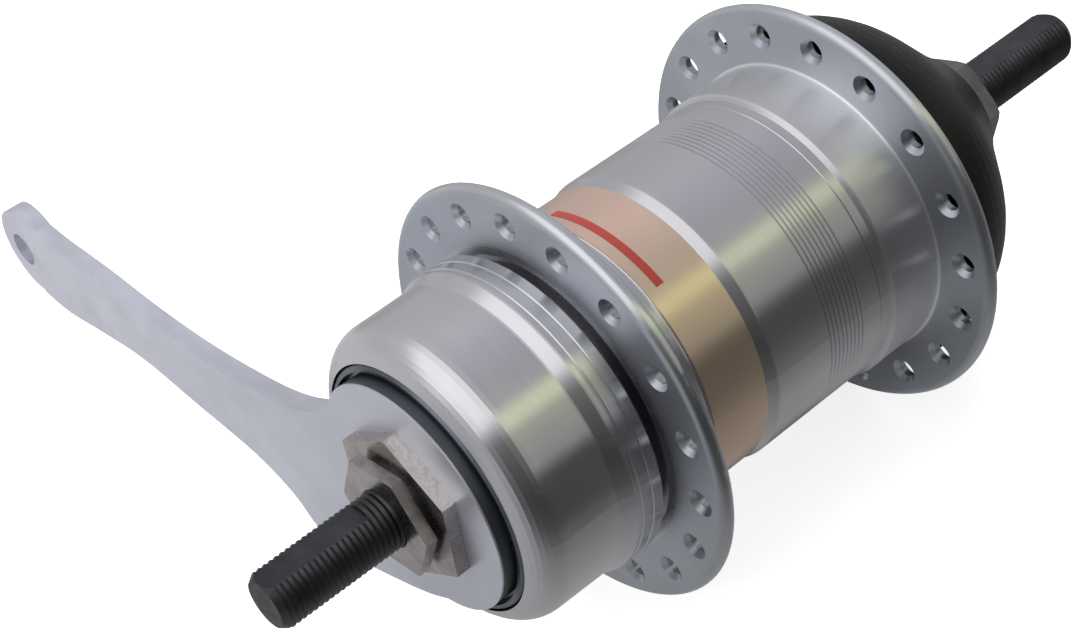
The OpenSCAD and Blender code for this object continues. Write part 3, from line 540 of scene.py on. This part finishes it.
floor = stage_plane("floor", FLOOR_SIZE, FLOOR_Z)
fm = Maker("floor_white")
fm.done((0.86, 0.86, 0.86), 0.9)
glow = fm.add("ShaderNodeEmission")
fm.put(glow.inputs["Color"], (1.0, 1.0, 1.0))
fm.put(glow.inputs["Strength"], fm.math("MULTIPLY", seen_rays(fm), FLOOR_GLOW))
both = fm.add("ShaderNodeAddShader")
fm.put(both.inputs[0], fm.shader.outputs[0])
fm.put(both.inputs[1], glow.outputs[0])
fm.put(fm.out.inputs["Surface"], both.outputs[0])
floor.data.materials.append(fm.mat)


# What the reflections show, by the angle round the axle from +X to +Z, in degrees
DRIVE_SIDE = [
    (-180, 0.42), (-150, 0.36), (-102, 0.31), (-45, 0.33), (-32, 0.20), (-22, 0.11), (-12, 0.08),
    (2, 0.075), (7, 0.17), (12, 0.36), (28, (0.42, 0.42, 0.37)), (38, (0.48, 0.49, 0.39)),
    (44, (0.82, 0.86, 0.60)), (51, (0.82, 0.86, 0.60)), (58, (0.42, 0.43, 0.41)),
    (75, (0.40, 0.40, 0.43)), (100, (0.48, 0.48, 0.52)), (120, (0.56, 0.56, 0.59)), (180, 0.50)]
BRAKE_SIDE = [
    (-180, 0.62), (-150, 0.60), (-110, 0.40), (-60, 0.34), (-38, 0.24), (-22, 0.08), (-8, 0.05),
    (18, 0.09), (38, 0.16), (46, 0.40), (56, 1.10), (90, 1.20), (118, 1.15), (135, 0.62),
    (155, 0.55), (180, 0.62)]


def studio_tone(m):
    """Dark low on the drive side, a yellow-green strip above it, a softbox over the brake side."""
    x, y, z = m.split()
    angle = m.span(m.math("ARCTAN2", z, x), -math.pi, math.pi)
    drive, brake = (m.ramp(angle, [((a + 180) / 360, c) for a, c in side])
                    for side in (DRIVE_SIDE, BRAKE_SIDE))
    squares = [m.math("MULTIPLY", v, v) for v in (x, y, z)]
    reach = m.math("SQRT", m.math("ADD", m.math("ADD", squares[0], squares[1]), squares[2]))
    lean = m.math("DIVIDE", y, reach)
    front = m.mix(m.span(lean, -0.97, -0.80, smooth=True), (0.45, 0.45, 0.46), brake)
    return m.mix(m.span(lean, -0.05, 0.20, smooth=True), front, drive)


def glowing(name, shadow=None):
    """The room's tone as light, with a shadow: middle x, half x, middle y, half y and depth."""
    m = Maker(name)
    m.place = m.add("ShaderNodeNewGeometry").outputs["Position"]
    light = m.add("ShaderNodeEmission")
    m.put(light.inputs["Color"], studio_tone(m))
    if shadow:
        mid_x, half_x, mid_y, half_y, depth = shadow
        x, y, _ = m.split()
        off_x = m.math("DIVIDE", m.math("SUBTRACT", x, mid_x), half_x)
        off_y = m.math("DIVIDE", m.math("SUBTRACT", y, mid_y), half_y)
        off = m.math("ADD", m.math("MULTIPLY", off_x, off_x), m.math("MULTIPLY", off_y, off_y))
        m.put(light.inputs["Strength"], m.span(off, 0.5, 1.4, 1.0 - depth, 1.0, smooth=True))
    m.put(m.out.inputs["Surface"], light.outputs[0])
    return m.mat


def studio_walls():
    """A wide round room, seen only in reflections."""
    mesh = bpy.data.meshes.new("studio_walls")
    bm = bmesh.new()
    bmesh.ops.create_icosphere(bm, subdivisions=5, radius=ROOM_R)
    bm.to_mesh(mesh)
    bm.free()
    obj = bpy.data.objects.new("studio_walls", mesh)
    bpy.context.scene.collection.objects.link(obj)
    mesh.materials.append(glowing("studio_glow"))
    return obj


def table_card():
    """The table as reflections show it, with the hub's own shadow under the barrel."""
    obj = stage_plane("table_card", CARD_SIZE, CARD_Z)
    obj.data.materials.append(glowing("table_glow", TABLE_SHADOW))
    return obj


for card in (studio_walls(), table_card()):
    card.visible_camera = False
    card.visible_diffuse = False
    card.visible_transmission = False
    card.visible_shadow = False
    card.visible_volume_scatter = False

# World: soft even light on the hub, plain white where the camera or a reflection looks
world = bpy.data.worlds.new("studio")
bpy.context.scene.world = world
world.use_nodes = True
sky = NodeTree(world.node_tree)
sky_out = sky.add("ShaderNodeOutputWorld")
blend = sky.add("ShaderNodeMixShader")
sky.put(blend.inputs[0], seen_rays(sky))
for i, (tint, strength) in enumerate((((0.96, 0.98, 1.0), 0.42), ((1.0, 1.0, 1.0), 1.0))):
    light = sky.add("ShaderNodeBackground")
    sky.put(light.inputs["Color"], tint)
    sky.put(light.inputs["Strength"], strength)
    sky.put(blend.inputs[i + 1], light.outputs[0])
sky.put(sky_out.inputs["Surface"], blend.outputs[0])


def lamp(name, toward, size, power):
    """A soft square lamp that shines at the hub from the given azimuth and elevation."""
    a, e = (math.radians(v) for v in toward)
    d = Vector((math.cos(e) * math.cos(a), math.cos(e) * math.sin(a), math.sin(e)))
    data = bpy.data.lights.new(name, "AREA")
    data.shape = "SQUARE"
    data.size = size
    data.energy = power
    obj = bpy.data.objects.new(name, data)
    bpy.context.scene.collection.objects.link(obj)
    obj.location = d * LAMP_FAR
    obj.rotation_euler = (-d).to_track_quat("-Z", "Y").to_euler()
    obj.visible_glossy = False


lamp("key_window", (-102, 34), 0.7, 9.0)
lamp("top_fill", (150, 75), 1.2, 9.0)

# Camera as solved from the photo's outlines: its place in metres, its directions, its lens in mm
CAMERA_AT = Vector((0.20180, -0.16295, 0.18398))
right = Vector((0.65180, 0.73174, -0.19929))
down = Vector((0.33028, -0.51043, -0.79396))
ahead = Vector((-0.68270, 0.45168, -0.57437))
cam_data = bpy.data.cameras.new("camera")
cam_data.lens = 67.731
cam_data.sensor_width = 36.0
cam_data.clip_start = 0.01
cam_data.clip_end = 50.0
cam = bpy.data.objects.new("camera", cam_data)
bpy.context.scene.collection.objects.link(cam)
turn = Matrix((right, -down, -ahead)).transposed().to_4x4()
cam.matrix_world = Matrix.Translation(CAMERA_AT) @ turn
bpy.context.scene.camera = cam

bpy.context.scene.view_settings.view_transform = "Standard"
